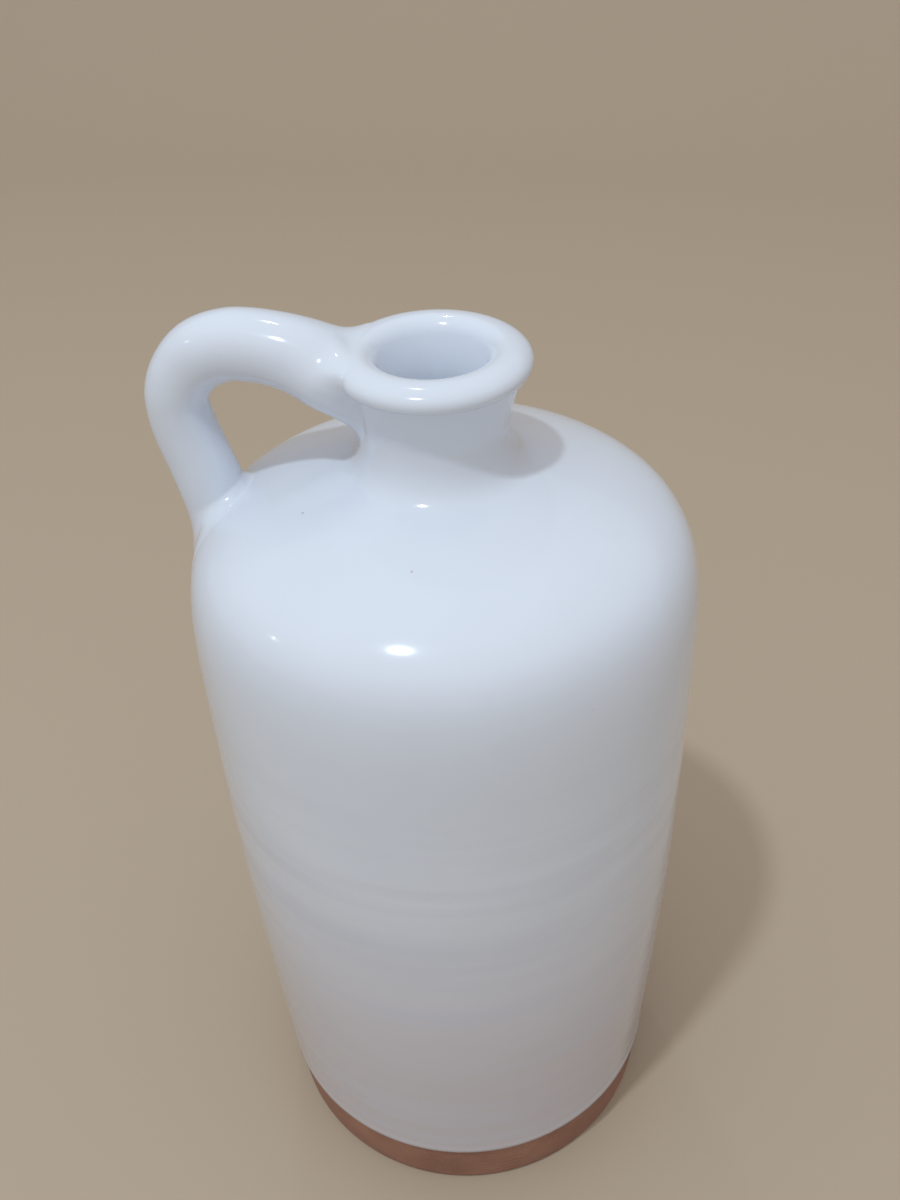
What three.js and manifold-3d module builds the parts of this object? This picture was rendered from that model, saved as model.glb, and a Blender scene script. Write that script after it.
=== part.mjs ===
// Glazed earthenware bottle with a loop handle. Millimetres, Z up, standing on Z = 0.
// The body's axis is the Z axis and the handle lies in the XZ plane on the -X side.
import * as THREE from 'three';
import { mergeVertices } from 'three/addons/utils/BufferGeometryUtils.js';
import Module from 'manifold-3d';

const wasm = await Module();
wasm.setup();
const { degToRad, lerp, smoothstep } = THREE.MathUtils;

// Overall sizes
const bodyDiameter = 105; // across the glazed wall, just below the shoulder
const bottleHeight = 212.6; // table to the crown of the lip
const footTaper = 4.5; // how much smaller the wall's radius is at the table
const bareFootHeight = 16.2; // unglazed band above the table
const footBevel = 1.2;

// Wall and shoulder
const wallThickness = 5;
const wallBow = 0.6; // height of the bow's pull, as a part of the wall below the shoulder
const floorThickness = 7.5;
const floorCorner = 11; // inside radius between floor and wall
const shoulderDepth = 66; // from the top of the bowed wall to the root of the neck
const shoulderFullness = 0.865; // how far the wall's line is held up into the shoulder
const shoulderSlope = degToRad(21);
const shoulderPull = 1.2; // length of the slope's pull, as a part of the shoulder's width

// Neck and lip, a flattened roll
const neckHeight = 25.2; // root of the neck to the crown of the lip
const neckDiameter = 28.4; // narrowest outside
const neckWaist = 0.42; // height of the narrowest place, as a part of the neck
const neckSweep = 6.7; // how far the neck's foot sweeps out onto the shoulder
const neckWall = 5.6;
const throatFlare = 4.5; // widening of the bore where it opens into the body
const lipOverhang = 4.35; // lip past the narrowest place of the neck
const lipWidth = 8.5; // across the roll, if it were whole
const lipThickness = 5.9;
const lipCrease = degToRad(-36); // where the roll's underside meets the neck
const mouthReach = 4.3; // rounding of the mouth inside the lip, inward and down from the crown
const mouthDepth = 5.6;
const mouthTurn = degToRad(62); // how much of a quarter turn the rounding makes
const funnelLean = degToRad(22); // lean of the mouth below its rounding
const boreDepth = 13; // crown of the lip down to the straight bore
const flareReach = 0.2; // pull of the neck's flare, outward and upward, as parts of the flare
const flareClimb = 0.5;

// Coats and beds
const glazeThickness = 0.5;
const slipThickness = 0.8;
const slipSpread = 0.7; // extent of a handle's slip bed, as a part of the rod's section
const fitGap = 0.3; // open gap where one piece is cut to another's shape

// Handle, a pulled rod; its sizes are those of the clay
const handleThickness = 13.3; // at the crown of the arch
const legThickness = 10.9; // where it comes down to the shoulder
const handleRise = 5.1; // crown of the handle above the lip
const handleOverhang = 4.3; // how far it stands out past the widest wall
const crownSetback = 11.7; // crown of the arch, inward from the rod's outermost line
const bendDrop = 13; // crown line down to the outermost place
const legLean = 4; // how far the leg leans back in above the shoulder
const legLanding = 6.6; // where the leg lands, below the neck root
const rootDrop = 10.2; // lip crown down to the rod's middle inside the neck
const rootFlare = 1.12; // thickening at the neck, as a factor
const rootSpread = 1.4; // widening at the neck, as a factor
const tongueLength = 25.3; // smear below the landing
const tongueSpread = 1.9; // widening of the smear, as a factor
const tongueNarrowing = 0.6; // how much of the leg's width is lost by the tip
const tongueEnd = 1.2; // half thickness at the tip of the smear

// Pulls of the handle's curves, as parts of the stretch that each one bends
const armReach = 0.35; // arm leaving the neck, outward
const armClimb = 0.42; // and upward
const flareStart = 0.15; // where along the arm its flare begins to fade
const flareEnd = 0.85; // and where it is gone
const crownRun = 0.3; // level run into the crown
const bendRound = 0.5;
const legRun = 0.33; // upright run below the bend
const landingRun = 0.38; // upright run above the landing
const smearRun = 0.27; // upright run below the landing
const tipReach = 0.25; // smear arriving at its tip, inward
const tipClimb = 0.38; // and upward

// Flats and steps
const turns = 36; // round the body
const sides = 16; // round the handle
const handleSteps = [8, 6, 4, 7]; // along arm, bend, leg and smear

// Sizes that follow
const bodyRadius = bodyDiameter / 2;
const footRadius = bodyRadius - footTaper;
const neckRadius = neckDiameter / 2;
const rootRadius = neckRadius + neckSweep;
const boreRadius = neckRadius - glazeThickness - neckWall;
const throatRadius = boreRadius + throatFlare;
const lipRadius = neckRadius + lipOverhang;
const crownRadius = lipRadius - lipWidth / 2;
const neckRoot = bottleHeight - neckHeight;
const waistHeight = neckRoot + neckWaist * neckHeight;
const wallTop = neckRoot - shoulderDepth;
const wallPull = wallBow * wallTop;
const rodRadius = handleThickness / 2;
const legRadius = legThickness / 2;

const point = (radius, height) => new THREE.Vector2(radius, height);

// The bowed wall from the table to the top of the wall; 0 to 1 along its length.
const wallCurve = new THREE.QuadraticBezierCurve(
  point(footRadius, 0),
  point(bodyRadius, wallPull),
  point(bodyRadius, wallTop),
);

function wallParameterAt(height) {
  const linear = 2 * wallPull;
  const square = wallTop - 2 * wallPull;
  return (2 * height) / (linear + Math.sqrt(linear * linear + 4 * square * height));
}

// Moves each point of a run square to the run: positive to its right, which is outward going up.
function offsetRun(run, distance) {
  return run.map((here, index) => {
    const before = run[Math.max(index - 1, 0)];
    const after = run[Math.min(index + 1, run.length - 1)];
    const arriving = here.clone().sub(index > 0 ? before : here);
    const leaving = after.clone().sub(here);
    if (index === 0) {
      arriving.copy(leaving);
    }
    if (index === run.length - 1) {
      leaving.copy(arriving);
    }
    arriving.normalize();
    leaving.normalize();
    const normal = point(arriving.y + leaving.y, -arriving.x - leaving.x).normalize();
    const spread = normal.x * arriving.y - normal.y * arriving.x;
    return here.clone().addScaledVector(normal, distance / spread);
  });
}

// Glazed outside: below the neck's seat from the glaze line up, and above it to the lip's crown
function glazedOutside() {
  const glazeLine = wallParameterAt(bareFootHeight);
  const wall = [0, 1 / 3, 2 / 3, 1].map((part) => wallCurve.getPoint(lerp(glazeLine, 1, part)));
  const root = point(rootRadius, neckRoot);
  const slope = point(-Math.cos(shoulderSlope), Math.sin(shoulderSlope));
  const shoulder = new THREE.CubicBezierCurve(
    point(bodyRadius, wallTop),
    point(bodyRadius, wallTop + shoulderFullness * shoulderDepth),
    root.clone().addScaledVector(slope, -shoulderPull * (bodyRadius - rootRadius)),
    root,
  );
  const seatTop = root.clone().addScaledVector(slope, slipThickness / Math.sin(shoulderSlope));
  const waist = point(neckRadius, waistHeight);
  const sweep = new THREE.QuadraticBezierCurve(
    seatTop,
    point(neckRadius, seatTop.y + (seatTop.x - neckRadius) * Math.tan(shoulderSlope)),
    waist,
  );
  const lip = lipCurve(lipCrease, Math.PI / 2);
  const underLip = lip.getPoint(0);
  const flare = new THREE.QuadraticBezierCurve(
    waist,
    point(lerp(neckRadius, underLip.x, flareReach), lerp(waist.y, underLip.y, flareClimb)),
    underLip,
  );
  const below = [...wall, ...shoulder.getPoints(7).slice(1)];
  const above = [
    seatTop,
    ...sweep.getPoints(4).slice(1),
    ...flare.getPoints(3).slice(1),
    ...lip.getPoints(6).slice(1),
  ];
  return { below, above };
}

function lipCurve(from, to) {
  const centreHeight = bottleHeight - lipThickness / 2;
  return new THREE.EllipseCurve(crownRadius, centreHeight, lipWidth / 2, lipThickness / 2, from, to);
}

const finished = glazedOutside();
const seatIndex = finished.below.length - 1;
const finishedOutside = [...finished.below, ...finished.above];
const clayOutside = offsetRun(finishedOutside, -glazeThickness);
const seatEdge = clayOutside[seatIndex];
const slipEdge = clayOutside[seatIndex + 1];

// Inside of the clay: floor, wall and shoulder, then the throat, bore and lip
function clayInside() {
  const floorWall = wallCurve.getPoint(wallParameterAt(floorThickness + floorCorner));
  const wallRadius = floorWall.x - glazeThickness - wallThickness;
  const corner = new THREE.EllipseCurve(
    wallRadius - floorCorner,
    floorThickness + floorCorner,
    floorCorner,
    floorCorner,
    -Math.PI / 2,
    0,
  );
  const hidden = offsetRun(clayOutside.slice(0, seatIndex + 1), -wallThickness).slice(1, -1);
  const last = hidden[hidden.length - 1];
  const sweep = new THREE.QuadraticBezierCurve(
    last,
    point(throatRadius, last.y + (last.x - throatRadius) * Math.tan(shoulderSlope)),
    point(throatRadius, seatEdge.y),
  );
  const body = [
    point(0, floorThickness),
    ...corner.getPoints(3),
    ...hidden,
    ...sweep.getPoints(3).slice(1),
  ];
  const crown = clayOutside[clayOutside.length - 1];
  const mouth = new THREE.EllipseCurve(
    crown.x,
    bottleHeight - mouthDepth,
    mouthReach - glazeThickness,
    mouthDepth - glazeThickness,
    Math.PI / 2 + mouthTurn,
    Math.PI / 2,
    true,
  );
  const rim = mouth.getPoint(0);
  const funnel = new THREE.QuadraticBezierCurve(
    point(boreRadius, bottleHeight - boreDepth),
    point(boreRadius, rim.y - (rim.x - boreRadius) / Math.tan(funnelLean)),
    rim,
  );
  const neck = [
    point(throatRadius, slipEdge.y),
    ...funnel.getPoints(3),
    ...mouth.getPoints(3).slice(1, -1),
    crown.clone(),
  ];
  return { body, neck };
}

const inside = clayInside();
const insideRun = [...inside.body, ...inside.neck];
const liningRun = offsetRun(insideRun, -glazeThickness);
liningRun[0] = point(0, floorThickness + glazeThickness);
liningRun[liningRun.length - 1] = finishedOutside[finishedOutside.length - 1].clone();

function turned(profile) {
  const geometry = new THREE.LatheGeometry(profile, turns);
  geometry.rotateX(Math.PI / 2);
  return geometry;
}

function closed(profile) {
  return [...profile, profile[0].clone()];
}

function reversed(run) {
  return [...run].reverse();
}

function thrownBody() {
  const foot = wallCurve.getPoint(0).x - glazeThickness;
  return turned([
    point(0, 0),
    point(foot - footBevel, 0),
    point(foot, footBevel),
    ...clayOutside.slice(0, seatIndex + 1),
    ...reversed(inside.body),
  ]);
}

function neckSlip() {
  const inner = [point(throatRadius, slipEdge.y), point(throatRadius, seatEdge.y)];
  return turned(closed([seatEdge, slipEdge, ...inner]));
}

function neckCollar() {
  return turned(closed([...clayOutside.slice(seatIndex + 1), ...reversed(inside.neck).slice(1)]));
}

function outerCoat() {
  return turned(closed([...finishedOutside, ...reversed(clayOutside)]));
}

function innerGlaze() {
  return turned([...insideRun, ...reversed(liningRun)]);
}

// The clay's outside grown by a distance and filled in, with a column that keeps the mouth clear
function filled(distance) {
  const grown = offsetRun(clayOutside, distance);
  const crown = grown.pop();
  const columnRadius = crown.x + fitGap;
  const columnTop = bottleHeight + handleThickness;
  return solid(turned([
    point(0, 0),
    point(grown[0].x, 0),
    ...grown,
    point(columnRadius, crown.y),
    point(columnRadius, columnTop),
    point(0, columnTop),
  ]));
}

// Centre line of the handle: arm, bend, leg and smear, each from the neck's end
function handleCurves() {
  const reach = bodyRadius + handleOverhang - legRadius;
  const start = point(neckRadius / 2, bottleHeight - rootDrop);
  const crown = point(reach - crownSetback, bottleHeight + handleRise - rodRadius);
  const side = point(reach, crown.y - bendDrop);
  const landing = point(reach - legLean, neckRoot - legLanding);
  const tip = point(bodyRadius - glazeThickness - tongueEnd / 3, landing.y - tongueLength);
  return [
    new THREE.CubicBezierCurve(
      start,
      point(lerp(start.x, crown.x, armReach), lerp(start.y, crown.y, armClimb)),
      point(lerp(crown.x, start.x, crownRun), crown.y),
      crown,
    ),
    new THREE.CubicBezierCurve(
      crown,
      point(lerp(crown.x, side.x, bendRound), crown.y),
      point(side.x, lerp(side.y, crown.y, bendRound)),
      side,
    ),
    new THREE.CubicBezierCurve(
      side,
      point(side.x, lerp(side.y, landing.y, legRun)),
      point(landing.x, lerp(landing.y, side.y, landingRun)),
      landing,
    ),
    new THREE.CubicBezierCurve(
      landing,
      point(landing.x, lerp(landing.y, tip.y, smearRun)),
      point(lerp(tip.x, landing.x, tipReach), lerp(tip.y, landing.y, tipClimb)),
      tip,
    ),
  ];
}

// Half thickness in the handle's plane and half width across it, at a place on one of its curves
function handleSection(curveIndex, along) {
  if (curveIndex === 0) {
    const flare = 1 - smoothstep(along, flareStart, flareEnd);
    return [rodRadius * lerp(1, rootFlare, flare), rodRadius * lerp(1, rootSpread, flare)];
  }
  if (curveIndex === 3) {
    const spread = (tongueSpread - 1) * Math.sin(Math.PI * along);
    const width = 1 - tongueNarrowing * smoothstep(along, 0, 1) + spread;
    return [lerp(legRadius, tongueEnd, along), legRadius * width];
  }
  const taper = curveIndex === 1 ? lerp(rodRadius, legRadius, smoothstep(along, 0, 1)) : legRadius;
  return [taper, taper];
}

function handleRings(growth, share) {
  const rings = [];
  handleCurves().forEach((curve, curveIndex) => {
    const steps = handleSteps[curveIndex];
    for (let step = curveIndex === 0 ? 0 : 1; step <= steps; step += 1) {
      const along = step / steps;
      const [thick, wide] = handleSection(curveIndex, along);
      rings.push({
        centre: curve.getPoint(along),
        heading: curve.getTangent(along),
        thick: thick * share + growth,
        wide: wide * share + growth,
      });
    }
  });
  return rings;
}

// Closed rod with a share of the handle's changing oval section, grown all round by a distance
function handleRod(growth, share = 1) {
  const rings = handleRings(growth, share);
  const places = [];
  const corners = [];
  rings.forEach(({ centre, heading, thick, wide }) => {
    for (let side = 0; side < sides; side += 1) {
      const angle = (2 * Math.PI * side) / sides;
      const across = thick * Math.cos(angle);
      places.push(
        -centre.x + across * heading.y,
        wide * Math.sin(angle),
        centre.y + across * heading.x,
      );
    }
  });
  const first = rings[0].centre;
  const last = rings[rings.length - 1].centre;
  places.push(-first.x, 0, first.y, -last.x, 0, last.y);
  const startCentre = rings.length * sides;
  for (let ring = 0; ring < rings.length - 1; ring += 1) {
    for (let side = 0; side < sides; side += 1) {
      const next = (side + 1) % sides;
      const low = ring * sides;
      const high = low + sides;
      corners.push(low + side, low + next, high + next);
      corners.push(low + side, high + next, high + side);
    }
  }
  const end = (rings.length - 1) * sides;
  for (let side = 0; side < sides; side += 1) {
    const next = (side + 1) % sides;
    corners.push(startCentre, next, side);
    corners.push(startCentre + 1, end + side, end + next);
  }
  const geometry = new THREE.BufferGeometry();
  geometry.setAttribute('position', new THREE.Float32BufferAttribute(places, 3));
  geometry.setIndex(corners);
  return geometry;
}

// Closed solid for joining and cutting
function solid(geometry) {
  const bare = geometry.clone();
  bare.deleteAttribute('normal');
  bare.deleteAttribute('uv');
  const merged = mergeVertices(bare, 1e-4);
  const triangles = [];
  const index = merged.index.array;
  for (let start = 0; start < index.length; start += 3) {
    const [one, two, three] = index.slice(start, start + 3);
    if (one !== two && two !== three && three !== one) {
      triangles.push(one, two, three);
    }
  }
  return new wasm.Manifold(new wasm.Mesh({
    numProp: 3,
    vertProperties: Float32Array.from(merged.attributes.position.array),
    triVerts: Uint32Array.from(triangles),
  }));
}

function geometryOf(shape) {
  const mesh = shape.getMesh();
  const geometry = new THREE.BufferGeometry();
  geometry.setAttribute('position', new THREE.Float32BufferAttribute(mesh.vertProperties, 3));
  geometry.setIndex(Array.from(mesh.triVerts));
  geometry.computeVertexNormals();
  return geometry;
}

// The rod's clay stops short of the pot by the slip bed and a gap on each side of it
function handleClay() {
  return geometryOf(solid(handleRod(0)).subtract(filled(slipThickness + 2 * fitGap)));
}

// Slip under one end of the handle, above or below the root of the neck, well inside the rod's edge
function handleSlip(isUpper) {
  const bed = filled(slipThickness + fitGap).subtract(filled(fitGap));
  const film = solid(handleRod(0, slipSpread)).intersect(bed);
  const half = new THREE.BoxGeometry(4 * bodyDiameter, 4 * bodyDiameter, bottleHeight);
  const split = neckRoot + slipThickness;
  half.translate(0, 0, split + (isUpper ? 0.5 : -0.5) * bottleHeight);
  return geometryOf(film.intersect(solid(half)));
}

function handleGlaze() {
  const sleeve = solid(handleRod(glazeThickness)).subtract(solid(handleRod(0)));
  return geometryOf(sleeve.subtract(filled(glazeThickness + fitGap)));
}

// The outside coat is open where the handle's clay passes through it
function outerGlaze() {
  return geometryOf(solid(outerCoat()).subtract(solid(handleRod(fitGap))));
}

const clayLook = { color: 0x8d6653, roughness: 0.85, metalness: 0 };
const slipLook = { color: 0x9a705b, roughness: 0.9, metalness: 0 };
const glazeLook = { color: 0xe4e8ec, roughness: 0.12, metalness: 0 };

const group = new THREE.Group();
group.name = 'ceramic_bottle';

function addPiece(name, geometry, look) {
  const mesh = new THREE.Mesh(geometry, new THREE.MeshStandardMaterial(look));
  mesh.name = name;
  group.add(mesh);
}

addPiece('thrown_body', thrownBody(), clayLook);
addPiece('neck_slip', neckSlip(), slipLook);
addPiece('neck_collar', neckCollar(), clayLook);
addPiece('handle', handleClay(), clayLook);
addPiece('upper_handle_slip', handleSlip(true), slipLook);
addPiece('lower_handle_slip', handleSlip(false), slipLook);
addPiece('outer_glaze', outerGlaze(), glazeLook);
addPiece('handle_glaze', handleGlaze(), glazeLook);
addPiece('inner_glaze', innerGlaze(), glazeLook);

export default group;
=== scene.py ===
import math

import bpy
import numpy as np
from mathutils import Matrix, Vector, noise


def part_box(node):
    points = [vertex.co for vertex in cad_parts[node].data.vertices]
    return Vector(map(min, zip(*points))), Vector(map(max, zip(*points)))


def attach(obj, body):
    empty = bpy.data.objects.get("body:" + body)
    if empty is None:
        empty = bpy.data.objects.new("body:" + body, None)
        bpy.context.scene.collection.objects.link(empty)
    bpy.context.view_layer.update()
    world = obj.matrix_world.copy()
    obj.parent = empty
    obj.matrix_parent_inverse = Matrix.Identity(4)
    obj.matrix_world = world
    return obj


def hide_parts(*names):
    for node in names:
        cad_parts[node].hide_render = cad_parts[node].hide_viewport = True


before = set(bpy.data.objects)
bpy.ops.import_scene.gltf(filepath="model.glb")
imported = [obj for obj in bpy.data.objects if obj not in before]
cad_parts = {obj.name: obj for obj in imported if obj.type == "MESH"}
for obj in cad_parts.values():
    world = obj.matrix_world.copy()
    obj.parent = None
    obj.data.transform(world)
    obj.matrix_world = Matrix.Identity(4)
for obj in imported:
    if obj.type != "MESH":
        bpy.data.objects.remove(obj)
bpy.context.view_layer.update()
scene = bpy.context.scene
scene.view_settings.view_transform = "Standard"
print("frame loaded with", len(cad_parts), "nodes")


# Curves and runs of points: a run is an array of (radius, height) rows

def bezier(points, count):
    steps = np.linspace(0, 1, count + 1)
    degree = len(points) - 1
    weights = [math.comb(degree, k) * steps**k * (1 - steps) ** (degree - k) for k in range(degree + 1)]
    return np.stack(weights, 1) @ np.array(points, float)


def ellipseArc(centre, halfWidth, halfHeight, start, end, count):
    angle = np.radians(np.linspace(start, end, count + 1))
    return np.stack([centre[0] + halfWidth * np.cos(angle), centre[1] + halfHeight * np.sin(angle)], 1)


def chain(*runs):
    # joins runs end to end, without the shared points
    return np.concatenate([runs[0]] + [run[1:] for run in runs[1:]])


def lengths(run):
    steps = np.linalg.norm(np.diff(run, axis=0), axis=1)
    return np.concatenate([[0], np.cumsum(steps)])


def leftNormals(run):
    # square to the run, on its left hand
    heading = np.gradient(run, lengths(run), axis=0)
    heading /= np.linalg.norm(heading, axis=1, keepdims=True)
    return np.stack([-heading[:, 1], heading[:, 0]], 1)


def smoothStep(value, low, high):
    part = np.clip((value - low) / (high - low), 0, 1)
    return part * part * (3 - 2 * part)


# The turned pot, in metres; its lip and mouth differ a little from the solids
pot = {
    "bodyRadius": 0.0525,
    "footRadius": 0.048,
    "glazeLine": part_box("outer_glaze")[0].z,
    "lipTop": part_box("outer_glaze")[1].z,
    "wallTop": 0.1214,
    "wallPull": 0.0728,  # how high the wall's bow is pulled
    "shoulderPull": 0.0571,  # how far the wall's line is held up into the shoulder
    "slopePull": 0.0379,
    "slope": math.radians(21),
    "rootRadius": 0.0209,
    "neckRoot": 0.1874,
    "seat": 0.0008,  # slip under the neck
    "waistRadius": 0.0142,
    "waistHeight": 0.1980,
    "flareReach": 0.2,
    "flareClimb": 0.5,
    "lipRadius": 0.01855,
    "crownRadius": 0.0138,  # where the lip is highest
    "lipThickness": 0.0059,
    "lipCrease": -24.0,  # degrees round the roll, where its underside begins
    "ledge": 0.0006,  # underside of the lip, as far as the neck
    "creaseReach": 0.0036,  # how much of the outline is smoothed beside the handle
    "creasePasses": 160,
    "mouthReach": 0.0039,  # rounding of the mouth inside the lip, inward and down from the crown
    "mouthDepth": 0.0048,
    "mouthTurn": 62.0,  # degrees of a quarter turn that the rounding makes
    "funnelLean": math.radians(22),  # lean of the mouth below its rounding
    "boreRadius": 0.0076,
    "boreDepth": 0.013,  # from the crown down to the straight bore
    "throatRadius": 0.0121,
    "throatPull": 0.003,
    "wall": 0.005,
    "glaze": 0.0005,
    "floor": 0.0075,
    "floorCorner": 0.0105,
    "footBevel": 0.0012,
}
pointCounts = {  # steps along each stretch of the outlines
    "wall": 120,
    "shoulder": 52,
    "seat": 2,
    "neckSweep": 16,
    "neckFlare": 16,
    "ledge": 3,
    "lip": 26,
    "floor": 6,
    "floorCorner": 10,
    "liningWall": 40,
    "liningShoulder": 30,
    "throat": 8,
    "bore": 10,
    "funnel": 14,
    "mouth": 20,
    "base": 30,
    "footBevel": 6,
    "foot": 60,
    "clayShoulder": 24,
}


def wallRun(fromHeight, count):
    # the bowed wall, up from a height
    linear = 2 * pot["wallPull"]
    square = pot["wallTop"] - linear
    start = 2 * fromHeight / (linear + math.sqrt(linear**2 + 4 * square * fromHeight))
    part = np.linspace(start, 1, count + 1)
    radius = pot["footRadius"] + (pot["bodyRadius"] - pot["footRadius"]) * (2 * part - part**2)
    height = linear * part + square * part**2
    return np.stack([radius, height], 1)


def shoulderRun(count):
    root = np.array([pot["rootRadius"], pot["neckRoot"]])
    slope = np.array([math.cos(pot["slope"]), -math.sin(pot["slope"])])
    top = (pot["bodyRadius"], pot["wallTop"])
    held = (pot["bodyRadius"], pot["wallTop"] + pot["shoulderPull"])
    return bezier([top, held, root + pot["slopePull"] * slope, root], count)


def lipRun():
    # round outside of the lip, up to its crown
    half = pot["lipThickness"] / 2
    centre = (pot["crownRadius"], pot["lipTop"] - half)
    reach = pot["lipRadius"] - pot["crownRadius"]
    return ellipseArc(centre, reach, half, pot["lipCrease"], 90, pointCounts["lip"])


def neckTop():
    return lipRun()[0] - np.array([pot["ledge"], 0])


def neckRun():
    # from the shoulder's edge over the seat, up the waist to the crease under the lip
    rise = math.tan(pot["slope"])
    root = (pot["rootRadius"], pot["neckRoot"])
    seatTop = (pot["rootRadius"] - pot["seat"] / rise, pot["neckRoot"] + pot["seat"])
    corner = (pot["waistRadius"], seatTop[1] + (seatTop[0] - pot["waistRadius"]) * rise)
    waist = (pot["waistRadius"], pot["waistHeight"])
    under = neckTop()
    pull = (
        waist[0] + (under[0] - waist[0]) * pot["flareReach"],
        waist[1] + (under[1] - waist[1]) * pot["flareClimb"],
    )
    return chain(
        bezier([root, seatTop], pointCounts["seat"]),
        bezier([seatTop, corner, waist], pointCounts["neckSweep"]),
        bezier([waist, pull, under], pointCounts["neckFlare"]),
    )


def outsideRun():
    # glazed outside from the glaze line up to the lip's crown
    return chain(
        wallRun(pot["glazeLine"], pointCounts["wall"]),
        shoulderRun(pointCounts["shoulder"]),
        neckRun(),
        bezier([neckTop(), lipRun()[0]], pointCounts["ledge"]),
        lipRun(),
    )


def softenedRun(run):
    # the same run with the crease under the lip filled to a hollow
    along = lengths(run)
    creaseAt = along[np.linalg.norm(run - neckTop(), axis=1).argmin()]
    reach = np.clip(1 - np.abs(along - creaseAt) / pot["creaseReach"], 0, 1)[1:-1, None]
    soft = run.copy()
    for _ in range(pot["creasePasses"]):
        middle = (soft[:-2] + soft[2:]) / 2
        soft[1:-1] += 0.5 * np.sqrt(reach) * (middle - soft[1:-1])
    return soft


def liningRun():
    # glazed inside from the middle of the floor up to the lip's crown
    count = pointCounts
    depth = 2 * pot["glaze"] + pot["wall"]
    floorTop = pot["floor"] + pot["glaze"]
    corner = pot["floorCorner"]
    outer = chain(wallRun(floorTop + corner, count["liningWall"]), shoulderRun(count["liningShoulder"]))
    inner = outer + depth * leftNormals(outer)
    cornerMiddle = (inner[0][0] - corner, floorTop + corner)
    cornerRun = ellipseArc(cornerMiddle, corner, corner, -90, 0, count["floorCorner"])
    last = inner[-1]
    throat = (pot["throatRadius"], pot["neckRoot"])
    bend = (throat[0], last[1] + (last[0] - throat[0]) * math.tan(pot["slope"]))
    crown = (pot["crownRadius"], pot["lipTop"])
    mouthDepth = pot["mouthDepth"]
    mouthMiddle = (crown[0], crown[1] - mouthDepth)
    mouthStart = 90 + pot["mouthTurn"]
    mouth = ellipseArc(mouthMiddle, pot["mouthReach"], mouthDepth, mouthStart, 90, count["mouth"])
    rim = mouth[0]
    bore = pot["boreRadius"]
    narrow = (bore, crown[1] - pot["boreDepth"])
    throatUp = (throat[0], throat[1] + pot["throatPull"])
    narrowDown = (narrow[0], narrow[1] - pot["throatPull"])
    funnelPull = (bore, rim[1] - (rim[0] - bore) / math.tan(pot["funnelLean"]))
    return chain(
        bezier([(0, floorTop), cornerRun[0]], count["floor"]),
        cornerRun,
        bezier([cornerRun[-1], inner[0]], 1),
        inner,
        bezier([last, bend, throat], count["throat"]),
        bezier([throat, throatUp, narrowDown, narrow], count["bore"]),
        bezier([narrow, funnelPull, rim], count["funnel"]),
        mouth,
    )


# Wheel: a node tree that turns an outline about the upright axis and adds the marks of throwing

def addNode(tree, kind, place, settings=None, values=None):
    node = tree.nodes.new(kind)
    node.location = place
    for name, value in (settings or {}).items():
        setattr(node, name, value)
    for name, value in (values or {}).items():
        node.inputs[name].default_value = value
    return node


def mathNode(tree, operation, place, *sources):
    node = addNode(tree, "ShaderNodeMath", place, {"operation": operation})
    for k, source in enumerate(sources):
        if isinstance(source, (int, float)):
            node.inputs[k].default_value = source
        else:
            tree.links.new(source, node.inputs[k])
    return node.outputs[0]


def vectorNode(tree, operation, place, *sources):
    node = addNode(tree, "ShaderNodeVectorMath", place, {"operation": operation})
    for k, source in enumerate(sources):
        if isinstance(source, tuple):
            node.inputs[k].default_value = source
        else:
            tree.links.new(source, node.inputs[k])
    return node


def rampNode(tree, place, source, given, wanted, isSmooth=False):
    # takes a value from one range to another, and holds it at the ends
    node = addNode(tree, "ShaderNodeMapRange", place)
    if isSmooth:
        node.interpolation_type = "SMOOTHSTEP"
    tree.links.new(source, node.inputs["Value"])
    for key, number in zip(("From Min", "From Max", "To Min", "To Max"), (*given, *wanted)):
        node.inputs[key].default_value = number
    return node.outputs[0]


def mixNode(tree, place, factor, first, second):
    # two colours by a factor; the second one may be a fixed colour
    node = addNode(tree, "ShaderNodeMix", place, {"data_type": "RGBA"})
    tree.links.new(factor, node.inputs["Factor"])
    tree.links.new(first, node.inputs[6])
    if isinstance(second, tuple):
        node.inputs[7].default_value = second
    else:
        tree.links.new(second, node.inputs[7])
    return node.outputs[2]


# sockets of the wheel, and the value of a piece's dictionary that each one takes
wheelInputs = [
    ("Outline", "NodeSocketGeometry", None),
    ("Turns", "NodeSocketInt", "turns"),
    ("Ring Depth", "NodeSocketFloat", "ringDepth"),
    ("Ring Pitch", "NodeSocketFloat", "ringPitch"),
    ("Wobble Depth", "NodeSocketFloat", "wobbleDepth"),
    ("Wobble Size", "NodeSocketFloat", "wobbleSize"),
    ("Edge Wave", "NodeSocketFloat", "edgeWave"),
    ("Soft Side", "NodeSocketFloat", "softSide"),
    ("Soft From", "NodeSocketFloat", "softFrom"),
    ("Soft To", "NodeSocketFloat", "softTo"),
    ("Seed", "NodeSocketFloat", "seed"),
    ("Finish", "NodeSocketMaterial", None),
]
wheelMarks = {
    "ringDrift": 14.0,  # how quickly a ring changes round the wall, per metre
    "ringDetail": 3.0,
    "wobbleDetail": 1.0,
    "weld": 1e-7,  # points closer than this are joined at the seam and the poles
}


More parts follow.
